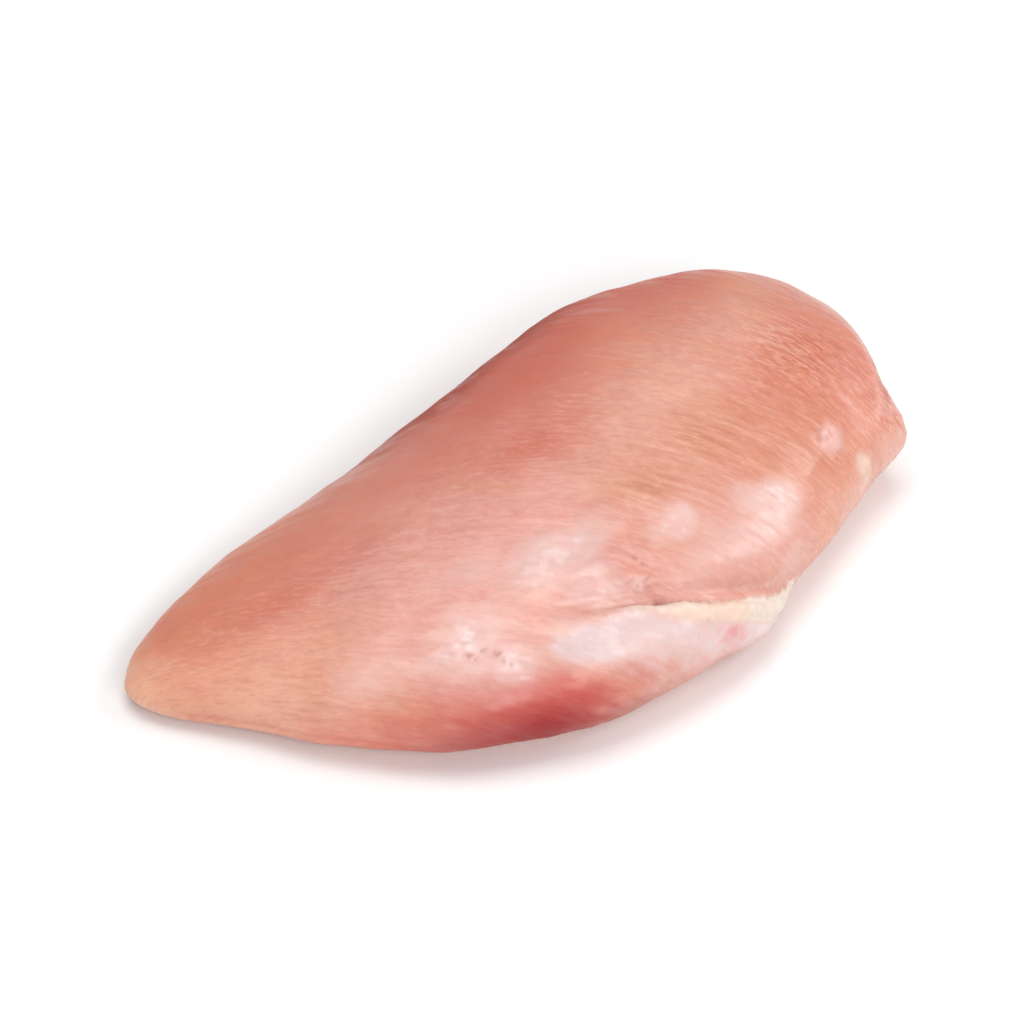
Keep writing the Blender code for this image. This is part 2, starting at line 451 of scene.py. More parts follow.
TENDON_TAIL = Route(((62, -25, 25.5), (57, -27, 25), (52, -29, 24.5), (48, -29, 25)))
TIP_LIP = Route(((-91, 6, 4), (-82, -4, 5), (-73, -14, 6), (-62, -25, 6.5), (-48, -36, 7)))


@dataclass
class FilletSkin:
    """The fillet's fine skin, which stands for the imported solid."""

    name: str = "fillet_skin"
    node: str = "fillet"
    voxel: float = 0.66
    smoothing: int = 22
    relief_from: float = 0.4
    relief_full: float = 3.0

    bands: tuple[Band, ...] = (
        Band(CREASE, -0.8, 0.8, start=0.12, end=0.72),
        Band(CREASE, 0.5, 2.2, offset=-2.4, start=0.2, fade=0.25),
        Band(CREASE, 0.5, 1.6, offset=2.6, start=0.3, end=0.95, fade=0.15),
        Band(LOBE_EDGE, 0.45, 2.2, start=-0.1, fade=0.25),
        Band(LOBE_EDGE, -0.22, 1.0, offset=0.8, start=0.25, end=1.1, fade=0.4),
        Band(LOBE_EDGE, 0.2, 0.6, offset=2.2, start=0.4, end=1.1, fade=0.3),
        Band(SHOULDER_FOLD, -0.35, 1.1, fade=0.35),
        Band(SHOULDER_FOLD, 0.25, 1.1, offset=2.2, fade=0.35),
        Band(SHOULDER_FOLD, -0.15, 0.9, offset=4.2, fade=0.4),
        Band(TENDON_TAIL, 0.12, 1.2, fade=0.4),
        Band(TIP_LIP, -0.25, 0.6, fade=0.25),
    )
    spots: tuple[Spot, ...] = (
        Spot((5.8, -42.2, 25.2), -1.3, (2.2, 1.3, 1.6)),
        Spot((3.6, -36.5, 27.5), -0.5, (1.2, 1.2, 1.6)),
        Spot((5.4, -38.9, 26), -0.5, (1.2, 0.9, 1.4)),
        Spot((16.5, -46.0, 22), -0.5, (1.6, 1.2, 1.5)),
        Spot((70, -28, 17), 0.5, (2.2, 1.5, 2.2)),
        Spot((88, -5, 23), 1.5, (7, 8, 9)),
    )
    tendon: TendonEnd = TendonEnd(
        knob=Spot((63.6, -23.8, 26.5), 0.4, (4.2, 4.2, 4.2)),
        heart=Spot((62.4, -22.6, 27.2), -0.35, (2.0, 1.7, 1.7)),
    )
    tears: tuple[Band, ...] = (
        Band(TEAR_ONE, 1.2, 0.7, fade=0.15),
        Band(TEAR_TWO, 0.8, 0.5, fade=0.15),
        Band(TEAR_THREE, 0.9, 0.6, fade=0.3),
    )
    strands: tuple[Band, ...] = (
        Band(SHOULDER_FOLD, 0.7, 1.0, offset=2.2, fade=0.25),
        Band(TENDON_TAIL, 0.1, 1.2, fade=0.4),
    )
    # Painted shade: the crease, the lobe's edge, the shoulder's fold and the pits are darkened in the colour
    # here.
    shaded_hollows: tuple[Band | Spot, ...] = (
        Band(CREASE, 0.45, 0.7, start=0.2, end=0.7),
        Band(LOBE_EDGE, 0.12, 1.3, offset=1.2, start=0.4, end=1.1, fade=0.3),
        Band(SHOULDER_FOLD, 0.2, 1.0, fade=0.35),
        Spot((5.9, -41.8, 25.0), 1, (2.4, 1.4, 1.6)),
        Spot((5.6, -38.6, 26.0), 0.35, (1.0, 2.0, 1.6)),
    )
    # The lip's line below the tip's edge: partly a red line in the flesh, partly painted shade in its
    # groove.
    lip_line_shade: Band = Band(TIP_LIP, 1, 0.9)

    lean: float = 0.4
    lump_height: float = 0.35
    fibre_height: float = 0.06
    bundle_height: float = 0.1
    lobule_height: float = 0.45
    lobule_size: float = 1.4
    wrinkle_height: float = 0.2
    film_height: float = 0.12
    mark_depth: float = 0.15

    fat_lump: Blotch = Blotch((29.5, -47, 15.0), (9, 5, 4.2))
    fat_speck: Blotch = Blotch((70.5, -28.2, 17), (2.6, 3, 3.2))
    flap: Band = Band(CREASE, 1, 6.5, offset=6.0, start=-0.02, end=0.97)
    flap_thin: Blotch = Blotch((14, -49, 21), (9, 5, 5), 0.35)
    flap_gaps: tuple[Blotch, ...] = (
        Blotch((-11, -38.5, 26), (6, 4, 4), 0.5),
        Blotch((3, -46, 25), (7, 3, 4), 0.3),
    )
    # The wet film's patches: partly the pale membrane, partly painted highlights on the ridge and the lobes.
    wet: tuple[Blotch, ...] = (
        Blotch((-8, -22.5, 29), (13.5, 7.2, 12)),
        Blotch((-23, -15, 26.5), (11, 6, 7), 0.5),
        Blotch((-6, -31.5, 27.5), (7, 4.5, 5), 0.75),
        Blotch((-33, -29, 23), (11, 8, 8), 0.95),
        Blotch((-50, -21, 18), (18, 8, 7), 0.5),
        Blotch((-6, -41, 25), (10, 5, 7), 0.35),
        Blotch((-4, -50, 18.5), (7, 4, 3.5), 0.6),
        Blotch((-27, -39, 22), (7.5, 5.5, 5), 0.95),
        Blotch((-3, -34, 27.5), (6, 6, 5), 0.85),
        Blotch((3.5, -37, 26.5), (4, 4, 3), 0.7),
        Blotch((19.5, -29.5, 30), (8, 5.5, 7), 0.8, full_at=1.0),
        Blotch((42, -32, 27), (10.5, 6.5, 8), 0.87, full_at=0.95),
        Blotch((38, -36, 24), (10, 6, 8), 0.7),
        Blotch((28, -38, 25), (22, 10, 10), 0.6),
        Blotch((40, -41, 17), (8, 5, 6), 0.5),
        Blotch((67, -31, 14), (9, 5, 6), 0.35),
        Blotch((80, -25, 17), (7, 5, 6), 0.45),
        Blotch((85, -19, 21), (5, 6, 7), 0.5),
    )
    # Red bruise marks, and one patch of painted shade near the lower right edge where the side turns under.
    bruises_and_shade: tuple[Blotch, ...] = (
        Blotch((19.5, -51, 14.5), (3.6, 4, 3.2)),
        # Painted shade near the lower right edge.
        Blotch((22, -51, 12), (3, 4, 2.4), 0.6),
        Blotch((14, -50, 18), (6, 3, 2.2), 0.5),
    )
    wrinkles: tuple[Blotch, ...] = (
        Blotch((70, -4, 31), (14, 15, 12)),
        Blotch((-36, -29, 22), (6, 4, 4)),
        Blotch((3, -34, 28), (3.5, 8, 5), 0.5),
        Blotch((83, -16, 22), (7, 14, 9)),
    )
    # Darker patches added to the far side: partly the flesh's own colour, partly painted shade.
    dusky: tuple[Blotch, ...] = (
        Blotch((8, 5, 31), (11, 7.5, 12), 0.62),
        Blotch((-56, 7, 17), (20, 5, 8), 0.35),
    )
    shoulder: tuple[Blotch, ...] = (
        Blotch((60, -14, 31), (22, 17, 16)),
        Blotch((80, 5, 28), (11, 16, 10), 0.9),
        Blotch((66, 28, 28), (14, 9, 8), 0.7),
    )
    corded: tuple[Blotch, ...] = (
        Blotch((38, -13, 32), (15, 8, 12)),
        Blotch((55, -23, 28), (10, 7, 9)),
        Blotch((19, -19, 32), (9, 6, 8), 0.9),
    )
    pale: tuple[Blotch, ...] = (
        Blotch((42, -2, 32), (28, 13, 12), 0.9),
        Blotch((82, -23, 17), (8, 8, 9)),
        Blotch((56, -34, 14), (12, 7, 8), 0.6),
        Blotch((-73, -11, 9.5), (18, 13, 9), 1.2),
        Blotch((-61, -23, 14), (13, 8, 8)),
        Blotch((12, -14, 31), (8, 8, 8), 0.5),
        Blotch((24, -5, 33), (11, 8, 7), 0.65),
        Blotch((70, -30, 12), (14, 6, 8), 0.8),
        Blotch((65, 5, 32), (11, 11, 8)),
        Blotch((-52, -19, 17), (8, 10, 8), 0.6),
        Blotch((55, -9, 32), (7, 7, 6), 0.5),
    )
    pink: Blotch = Blotch((-20, -14, 26), (42, 26, 20))

    # Where each part of the surface starts to show and where it is full: along from -92 at the tip to 92
    # at the shoulder, up from the table, across from -1 to 1, and beside the crease as a share of its way.
    fat_starts: Run = (0.26, 0.36)
    fat_widens: Run = (0.34, 0.48)
    fat_ends: Run = (1.0, 0.95)
    wing_side: Run = (-0.65, -0.88)
    raw: Stretch = Stretch((20.5, 15.0), (-72.0, -32.0), (4.0, -18.0))
    # Deep red low on the wing side: partly blood, partly painted shade where it turns under.
    blood_and_shade: Stretch = Stretch((20.5, 11.0), (-50.0, -26.0), (-5.0, -24.0))
    # Painted shade along the lowest rim of the wing side, where it turns under towards the table.
    low_rim_shade: Stretch = Stretch((14.0, 8.0), (-56.0, -42.0), (10.0, -10.0))
    edge_side: Run = (0.68, 0.95)
    edge_above: Run = (4.0, 17.0)
    edge_from: Run = (-35.0, 0.0)
    edge_until: Run = (62.0, 30.0)
    calm_side: Run = (0.15, 0.6)
    tip_from: Run = (-35.0, -78.0)
    tip_end_from: Run = (-78.0, -92.0)

    def copy_solid(self) -> bpy.types.Object:
        """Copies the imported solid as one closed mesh.

        Returns:
            The copy, in the scene.
        """
        work = bmesh.new()
        work.from_mesh(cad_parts[self.node].data)
        bmesh.ops.remove_doubles(work, verts=work.verts, dist=1e-6)
        data = bpy.data.meshes.new(self.name)
        work.to_mesh(data)
        work.free()
        skin = bpy.data.objects.new(self.name, data)
        bpy.context.scene.collection.objects.link(skin)
        return skin

    def refine(self, skin: bpy.types.Object) -> None:
        """Gives the copy an even fine mesh and smooths the solid's facets away.

        Args:
            skin: The copy of the solid.
        """
        remesh = skin.modifiers.new("fine", "REMESH")
        remesh.mode = "VOXEL"
        remesh.voxel_size = self.voxel * MM
        remesh.use_smooth_shade = True
        smooth = skin.modifiers.new("smooth", "SMOOTH")
        smooth.factor = 0.5
        smooth.iterations = self.smoothing
        depsgraph = bpy.context.evaluated_depsgraph_get()
        fine = bpy.data.meshes.new_from_object(skin.evaluated_get(depsgraph))
        skin.modifiers.clear()
        skin.data = fine

    def lobules(self, surface: Surface) -> Array:
        """Says how far the fat's small round lobes stand out at each point."""
        cells = [noise.cell(Vector(place)) for place in (surface.points / self.lobule_size).tolist()]
        return surface.mottle(1.9, 2, 5.0) + 0.2 * np.array(cells)

    def rise(self, surface: Surface, patches: dict[Patch, Array]) -> Array:
        """Adds up the relief along the normals.

        Args:
            surface: The skin before the relief.
            patches: The named parts of the surface.

        Returns:
            How far each point moves outward.
        """
        fat, film_and_highlight = patches[Patch.FAT], patches[Patch.FILM]
        bare = 1 - np.clip(fat + patches[Patch.TENDON_KNOB] + patches[Patch.CUT_SIDE], 0, 1)
        strong = 1 + 0.5 * patches[Patch.CORDED] - 0.75 * film_and_highlight
        wrinkles = surface.streaks(5, 1.8, 3, 3.0) + surface.mottle(2.6, 2, 6.0)
        creases = surface.mottle(4.2, 3, 7.0) + surface.streaks(8, 1.8, 2, 8.0)
        out = sum(feature.rise(surface) for feature in (*self.bands, *self.spots, self.tendon))
        out += self.lump_height * surface.mottle(15, 2, 4.0)
        out += bare * strong * self.bundle_height * surface.streaks(18, 3.0, 2, 1.0)
        out -= self.mark_depth * patches[Patch.MARKS]
        out += bare * (1 - 0.9 * film_and_highlight) * self.fibre_height * surface.streaks(14, 1.5, 2, 2.0)
        out += fat * self.lobule_height * self.lobules(surface)
        out += patches[Patch.WRINKLED] * self.wrinkle_height * wrinkles
        out += film_and_highlight * self.film_height * creases
        return out

    def leaning(self, surface: Surface) -> Array:
        """Lets the wing lobe hang over the crease a little.

        Args:
            surface: The skin before the relief.

        Returns:
            How far and which way each point moves along the surface.
        """
        aside, share, right = surface.beside(CREASE)
        amount = self.lean * hump(aside + 1.3, 1.5) * ramp(share, 0.2, 0.45) * ramp(share, 1.0, 0.8)
        return right * amount[:, None]

    def fats(self, surface: Surface) -> tuple[Array, Array, Array]:
        """Works out the strip of fat below the crease, the lump at its lower end and the small speck.

        Args:
            surface: The skin before the relief.

        Returns:
            How much each point belongs to the strip, the lump and the speck, from 0 to 1.
        """
        aside, share, _ = surface.beside(CREASE)
        fine, flecked = surface.fine, surface.flecked
        width = 1.2 + 1.2 * ramp(share, *self.fat_widens) + 0.4 * ramp(share, 0.5, 0.8)
        side = aside - 0.3 - width + 0.7 * fine + 0.5 * flecked
        strip = ramp(side, -width - 0.5, 0.4 - width) * ramp(side, width + 0.7, width - 0.7)
        strip *= ramp(share, *self.fat_starts) * ramp(share, *self.fat_ends)
        lump = ramp(self.fat_lump.share(surface) + 0.18 * fine + 0.1 * flecked, 0.2, 0.75)
        lump *= ramp(aside + 0.6 * fine, -1.2, 0.2)
        return strip, lump, ramp(self.fat_speck.share(surface) + 0.2 * fine, 0.1, 1.0)

    def red_side(self, surface: Surface) -> tuple[Array, Array, Array]:
        """Works out the raw red wing side under the flap, with its deep red low down, which is partly blood
        and partly painted shade.

        Args:
            surface: The skin before the relief.

        Returns:
            How raw, how bloody (partly painted shade) and how dark at the lowest rim (painted shade) each
            point is, from 0 to 1.
        """
        x, _, z = surface.points.T
        under = ramp(surface.share_across, *self.wing_side) * ramp(z, 0.2, 1.0)
        height = z + (0.5 * surface.rough + 0.4 * surface.streaky)
        torn = x + 3 * surface.rough + 3 * surface.streaky
        # The raw part climbs at its middle, stays low near the tip and starts further on the higher it is.
        level = height - 2.8 * hump(x + 23, 11) + 1.5 * ramp(x, -38, -52)
        raw = self.raw.share(level, torn - (z - 12), torn)
        bloody_and_shaded = self.blood_and_shade.share(height, torn, torn)
        low_rim_shade = self.low_rim_shade.share(height, torn, torn)
        return raw * under, bloody_and_shaded * under, low_rim_shade * under

    def wet_parts(self, surface: Surface, raw: Array) -> tuple[Array, Array, Array]:
        """Works out the flap of the lower layer under the membrane, the wet film and its brightest parts;
        the film is partly the pale membrane and partly a painted highlight, and its brightest parts carry a
        painted highlight.

        Args:
            surface: The skin before the relief.
            raw: How raw each point is.

        Returns:
            How much flap, film (partly painted highlight) and shine (painted highlight) there is at each
            point, from 0 to 1.
        """
        flap = self.flap.strength(surface) * ((1 - 0.9 * raw) * (1 - self.flap_thin.share(surface)))
        flap *= 1 - sum(gap.share(surface) for gap in self.flap_gaps)
        wet = np.maximum(flap, strongest(self.wet, surface))
        uneven = wet * (1 + 0.15 * surface.rough + 0.12 * surface.streaky) + 0.08 * surface.cloud
        bright = wet + 0.35 * surface.flecked + 0.25 * surface.fine
        return flap, ramp(uneven, 0.05, 0.85), ramp(bright, 0.75, 1.15) * ramp(wet, 0.3, 0.6)

    def far_side(self, surface: Surface) -> tuple[Array, Array]:
        """Works out the dusky far side and its dark edge, both partly the flesh's own darker red and partly
        painted shade on the side that slopes away from the light.

        Args:
            surface: The skin before the relief.

        Returns:
            How dusky (partly painted shade) each point is and how much it belongs to the edge, from 0 to 1.
        """
        x, _, z = surface.points.T
        across, rough = surface.share_across, surface.rough
        dusk = 0.2 * ramp(x, -60, -35) + 0.12 * ramp(x, 20, 45) + 0.25 * ramp(x, 60, 80) - 0.26
        side = ramp(across + 0.06 * rough - dusk, 0, 0.8) * (0.5 + 0.5 * ramp(x, -30, 15))
        side *= 1 - 0.25 * ramp(across, 0.45, 0.8) * ramp(x, 15, -15)
        side += sum(blotch.share(surface) for blotch in self.dusky)
        edge = ramp(across + 0.03 * rough, *self.edge_side)
        edge *= ramp(z - 0.075 * x + 0.6 * rough, *self.edge_above)
        edge *= ramp(x + 3 * rough, *self.edge_from) * ramp(x + 3 * rough, *self.edge_until)
        return np.clip(side, 0, 1), edge

    def marks(self, surface: Surface) -> Array:
        """Says how much each point belongs to the small dark marks where the film is torn."""
        broken = ramp(surface.mottle(1.7, 2, 18.0), -0.2, 0.25)
        return broken * highest(self.tears, surface)

    def patches(self, surface: Surface) -> dict[Patch, Array]:
        """Works out the named parts of the surface.

        Args:
            surface: The skin before the relief.

        Returns:
            A number from 0 to 1 for each point and each part.
        """
        x = surface.points[:, 0]
        across, rough, fine = surface.share_across, surface.rough, surface.fine
        strip, lump, speck = self.fats(surface)
        fat = np.clip(strip + lump + 0.8 * speck, 0, 1)
        raw, bloody_and_shaded, low_rim_shade = self.red_side(surface)
        flap, film_and_highlight, shine = self.wet_parts(surface, raw)
        dusky, far_edge = self.far_side(surface)
        bruise_and_shade = strongest(self.bruises_and_shade, surface) * (1 + 0.6 * fine + 0.4 * surface.flecked)
        return {
            Patch.FAT: fat,
            Patch.FAT_STRIP: np.clip(strip * ramp(x + fine, 28, 22) + speck, 0, 1),
            Patch.FILM: film_and_highlight * (1 - fat),
            Patch.SHINE: shine * (1 - fat),
            Patch.MEMBRANE: ramp(flap + 0.2 * rough + 0.15 * surface.streaky, 0.35, 1.0) * (1 - fat),
            Patch.RAW: raw,
            Patch.BLOOD: bloody_and_shaded,
            Patch.FAR_SIDE: dusky,
            Patch.FAR_EDGE: far_edge,
            Patch.CALM: ramp(across + 0.06 * rough, *self.calm_side),
            Patch.PINK: self.pink.share(surface),
            Patch.TIP: ramp(x + 5 * rough - 18 * ramp(across, 0.3, 0.8), *self.tip_from),
            Patch.TIP_END: ramp(x + 2 * rough, *self.tip_end_from),
            Patch.PALE: strongest(self.pale, surface),
            Patch.SHOULDER: np.clip(strongest(self.shoulder, surface) + 0.2 * surface.cloud, 0, 1),
            Patch.CORDED: np.clip(strongest(self.corded, surface) + 0.1 * rough, 0, 1),
            Patch.WRINKLED: strongest(self.wrinkles, surface),
            Patch.BRUISE: ramp(bruise_and_shade, 0.1, 0.9),
            Patch.MARKS: self.marks(surface),
            Patch.HOLLOW: np.maximum(highest(self.shaded_hollows, surface), 0.55 * low_rim_shade),
            Patch.TENDON_KNOB: self.tendon.knob_share(surface),
            Patch.TENDON_HEART: self.tendon.heart_share(surface),
            Patch.STRANDS: highest(self.strands, surface),
            Patch.LIP_LINE: self.lip_line_shade.strength(surface),
            Patch.CUT_SIDE: ramp(surface.normals[:, 2], -0.5, -0.9),
        }

    def keep_fields(self, mesh: bpy.types.Mesh, surface: Surface, patches: dict[Patch, Array]) -> None:
        """Writes the named parts and the fibres' way on the mesh, for the finish to read.

        Args:
            mesh: The skin's mesh.
            surface: The skin before the relief.
            patches: The named parts of the surface.
        """
        for patch, values in patches.items():
            kept = mesh.attributes.new(patch.value, "FLOAT", "POINT")
            kept.data.foreach_set("value", np.clip(values, 0, 1))
        along, across = surface.fibres.T
        way = np.column_stack([along, across, surface.points[:, 2]])
        mesh.attributes.new(FIBRE_FIELD, "FLOAT_VECTOR", "POINT").data.foreach_set("vector", way.ravel())

    def build(self) -> bpy.types.Object:
        """Makes the skin.

        Returns:
            The skin, with its relief and its fields.
        """
        skin = self.copy_solid()
        self.refine(skin)
        surface = Surface(skin.data)
        patches = self.patches(surface)
        depth = ramp(surface.points[:, 2], self.relief_from, self.relief_full)[:, None]
        moves = surface.normals * self.rise(surface, patches)[:, None] + self.leaning(surface)
        points = surface.points + moves * depth
        points[:, 2] = np.maximum(points[:, 2], 0)
        skin.data.vertices.foreach_set("co", (points * MM).ravel())
        self.keep_fields(skin.data, surface, patches)
        skin.data.update()
        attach(skin, "root")
        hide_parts(self.node)
        return skin


class Value:
    """A number in a material, with sums that add the nodes they need."""

    def __init__(self, nodes: "Nodes", socket: bpy.types.NodeSocket) -> None:
        """Keeps the socket that the number comes out of."""
        self.nodes = nodes
        self.socket = socket

    def __add__(self, other: "Value | float") -> "Value":
        """Adds."""
        return self.nodes.sum("ADD", self, other)

    __radd__ = __add__

    def __sub__(self, other: "Value | float") -> "Value":
        """Takes away."""
        return self.nodes.sum("SUBTRACT", self, other)

    def __rsub__(self, other: float) -> "Value":
        """Takes away from a plain number."""
        return self.nodes.sum("SUBTRACT", other, self)

    def __mul__(self, other: "Value | float") -> "Value":
        """Multiplies."""
        return self.nodes.sum("MULTIPLY", self, other)

    __rmul__ = __mul__

    def between(self, low: float, high: float) -> "Value":
        """Rises smoothly from 0 at the low end to 1 at the high end."""
        ends = {"Value": self, "From Min": low, "From Max": high}
        return self.nodes.node("ShaderNodeMapRange", {"interpolation_type": "SMOOTHSTEP"}, ends)


@dataclass(frozen=True)
class Pattern:
    """A pattern in the flesh: its blotches' sizes along the fibres, across and up, and how fine it is."""

    sizes: Point
    detail: float = 2.0
    twist: float = 0.0


class Nodes:
    """The nodes of one material."""

    def __init__(self, name: str) -> None:
        """Starts a material with nothing but its surface shader.

        Args:
            name: The material's name.
        """
        self.material = bpy.data.materials.new(name)
        self.material.use_nodes = True
        self.tree = self.material.node_tree
        self.shader = self.tree.nodes["Principled BSDF"]
        self.patterns: dict[Pattern, Value] = {}

    def plug(self, socket: bpy.types.NodeSocket, given: "Value | float | tuple | None") -> None:
        """Links a socket to a value, or sets a plain number or colour on it.

        Args:
            socket: The socket that takes it.
            given: What it takes; nothing leaves it as it is.
        """
        if isinstance(given, Value):
            self.tree.links.new(given.socket, socket)
        elif given is not None:
            socket.default_value = given

    def node(self, kind: str, settings: dict, inputs: dict, output: str | int = 0) -> Value:
        """Adds a node.

        Args:
            kind: The node's type.
            settings: The node's own settings, which are set first.
            inputs: Values or links for its sockets, by name or number.
            output: The socket that the result comes out of.

        Returns:
            The result.
        """
        made = self.tree.nodes.new(kind)
        for name, setting in settings.items():
            setattr(made, name, setting)
        for name, given in inputs.items():
            self.plug(made.inputs[name], given)
        return Value(self, made.outputs[output])

    def sum(self, operation: str, first: Value | float, second: Value | float) -> Value:
        """Works out one sum."""
        return self.node("ShaderNodeMath", {"operation": operation}, {0: first, 1: second})

    def patch(self, patch: Patch) -> Value:
        """Reads how much of a named part the mesh has at each point."""
        return self.node("ShaderNodeAttribute", {"attribute_name": patch.value}, {}, "Fac")

    def mix(self, share: Value | float, first: Value | Colour, second: Value | Colour) -> Value:
        """Mixes two colours, with that share of the second."""
        settings = {"data_type": "RGBA", "clamp_factor": True}
        return self.node("ShaderNodeMix", settings, {0: share, 6: first, 7: second}, 2)

    def noise(self, pattern: Pattern, way: Value) -> Value:
        """Makes a pattern's noise, once for each material.

        Args:
            pattern: Its sizes and how fine it is.
            way: The place that it follows.

        Returns:
            The noise, from 0 to 1.
        """
        if pattern not in self.patterns:
            scale = {0: way, 1: tuple(1 / size for size in pattern.sizes)}
            place = self.node("ShaderNodeVectorMath", {"operation": "MULTIPLY"}, scale)
            inputs = {"Vector": place, "Scale": 1.0, "Detail": pattern.detail, "Distortion": pattern.twist}
            self.patterns[pattern] = self.node("ShaderNodeTexNoise", {}, inputs)
        return self.patterns[pattern]

    def finish(self, sockets: dict[str, Value | float | tuple]) -> bpy.types.Material:
        """Sets the surface shader's sockets.

        Args:
            sockets: What each takes.

        Returns:
            The material.
        """
        for name, given in sockets.items():
            self.plug(self.shader.inputs[name], given)
        return self.material


@dataclass(frozen=True)
class FleshFinish:
    """Raw breast meat, wet, with fat and a thin pale membrane."""

    dome: Colour = paint(213, 149, 130)
    pale_fibre: Colour = paint(238, 190, 174)
    red_fibre: Colour = paint(198, 118, 102)
    # Darker red of the far side: partly the flesh's own colour, partly painted shade.
    far_side: Colour = paint(199, 97, 79)
    # Dark rim of the far edge: partly the flesh's own colour, partly painted shade where the edge turns
    # away.
    far_edge: Colour = paint(136, 38, 32)
    pink: Colour = paint(234, 172, 161)
    tip: Colour = paint(226, 147, 111)
    tip_end: Colour = paint(238, 186, 156)
    pale: Colour = paint(237, 183, 160)
    shoulder: Colour = paint(214, 135, 106)
    corded: Colour = paint(202, 132, 98)
    cord: Colour = paint(180, 102, 76)
    wrinkled: Colour = paint(192, 92, 74)
    # Bruise red, also used as painted shade near the lower right edge.
    bruise_and_shade: Colour = paint(222, 118, 124)
    orange: Colour = paint(224, 156, 116)
    rose: Colour = paint(216, 143, 137)
    # Pale film: partly the membrane's own colour, partly a painted highlight.
    film_and_highlight: Colour = paint(229, 193, 186)
    membrane: Colour = paint(218, 201, 203)
    # Painted highlight on the film's brightest parts.
    shine: Colour = paint(242, 217, 214)
    raw: Colour = paint(202, 80, 69)
    ember: Colour = paint(234, 96, 70)
    # Deep red: partly blood, partly painted shade on the underside that turns away from the light.
    blood_and_shade: Colour = paint(162, 13, 22)
    # Painted shade for the crease, the pits, the fold and the lowest rim.
    hollow_shade: Colour = paint(144, 58, 52)
    mark: Colour = paint(170, 100, 92)
    fat: Colour = paint(228, 215, 202)
    fat_shade: Colour = paint(222, 201, 186)
    fat_strip: Colour = paint(230, 200, 182)
    strand: Colour = paint(238, 194, 184)
    tendon_knob: Colour = paint(228, 184, 177)
    tendon_heart: Colour = paint(192, 118, 108)
    cut_side: Colour = paint(220, 150, 132)

    broad: Pattern = Pattern((30, 15, 20))
    hue: Pattern = Pattern((19, 12, 14), 3.0, 0.6)
    clumps: Pattern = Pattern((11, 8, 9))
    streaks: Pattern = Pattern((16, 1.7, 10), 3.0, 0.6)
    threads: Pattern = Pattern((7, 0.6, 6), 2.0, 0.3)
    blotches: Pattern = Pattern((5, 4, 4), 3.0, 0.5)
    creases: Pattern = Pattern((2.6, 1.6, 2.2), 3.0, 0.8)
    specks: Pattern = Pattern((2.4, 1.1, 1.8), 2.0, 0.5)
    cords: Pattern = Pattern((11, 2.2, 8), 2.0, 0.3)
    raised_threads: Pattern = Pattern((8, 0.8, 6), 2.0, 0.3)
    damp: Pattern = Pattern((2.4, 1.5, 2.0), 2.0, 0.5)
    wetness: Pattern = Pattern((9, 5, 6), 3.0)

    roughness: float = 0.45
    shine_roughness: float = 0.3
    coat_roughness: float = 0.24
    specular: float = 0.4
    subsurface: float = 0.3
    subsurface_reach: Point = (1.0, 0.35, 0.22)
    subsurface_scale: float = 0.004
    bump_strength: float = 0.38
    bump_height: float = 0.2

    def bump(self, nodes: Nodes, way: Value) -> Value:
        """Makes the finest relief: threads of the muscle and a damp unevenness.

        Args:
            nodes: The material's nodes.
            way: The fibres' way.

        Returns:
            The normal.
        """
        thread = nodes.noise(self.raised_threads, way) * (1 - 0.7 * nodes.patch(Patch.FILM))
        height = thread + 0.9 * nodes.noise(self.damp, way)
        inputs = {"Strength": self.bump_strength, "Distance": self.bump_height * MM, "Height": height}
        return nodes.node("ShaderNodeBump", {}, inputs)

    def material(self) -> bpy.types.Material:
        """Makes the material.

        Returns:
            The material.
        """
        nodes = Nodes("raw_flesh_wet")
        way = nodes.node("ShaderNodeAttribute", {"attribute_name": FIBRE_FIELD}, {}, "Vector")
        wet = nodes.noise(self.wetness, way)
        dry = nodes.patch(Patch.FAR_SIDE) + nodes.patch(Patch.BLOOD)
        shine = nodes.patch(Patch.SHINE)
        rough = self.roughness + 0.16 * wet - (self.roughness - self.shine_roughness) * shine
        return nodes.finish(
            {
                "Base Color": FleshPainter(self, nodes, way).paint_all(),
                "Roughness": rough + 0.4 * nodes.patch(Patch.FAR_EDGE),
                "Metallic": 0.0,
                "Coat Weight": 0.25 + 0.5 * wet.between(0.35, 0.65) + 0.3 * shine - 0.45 * dry,
                "Coat Roughness": self.coat_roughness,
                "Subsurface Weight": self.subsurface,
                "Subsurface Radius": self.subsurface_reach,
                "Subsurface Scale": self.subsurface_scale,
                "Specular IOR Level": self.specular,
                "Normal": self.bump(nodes, way),
            }
        )


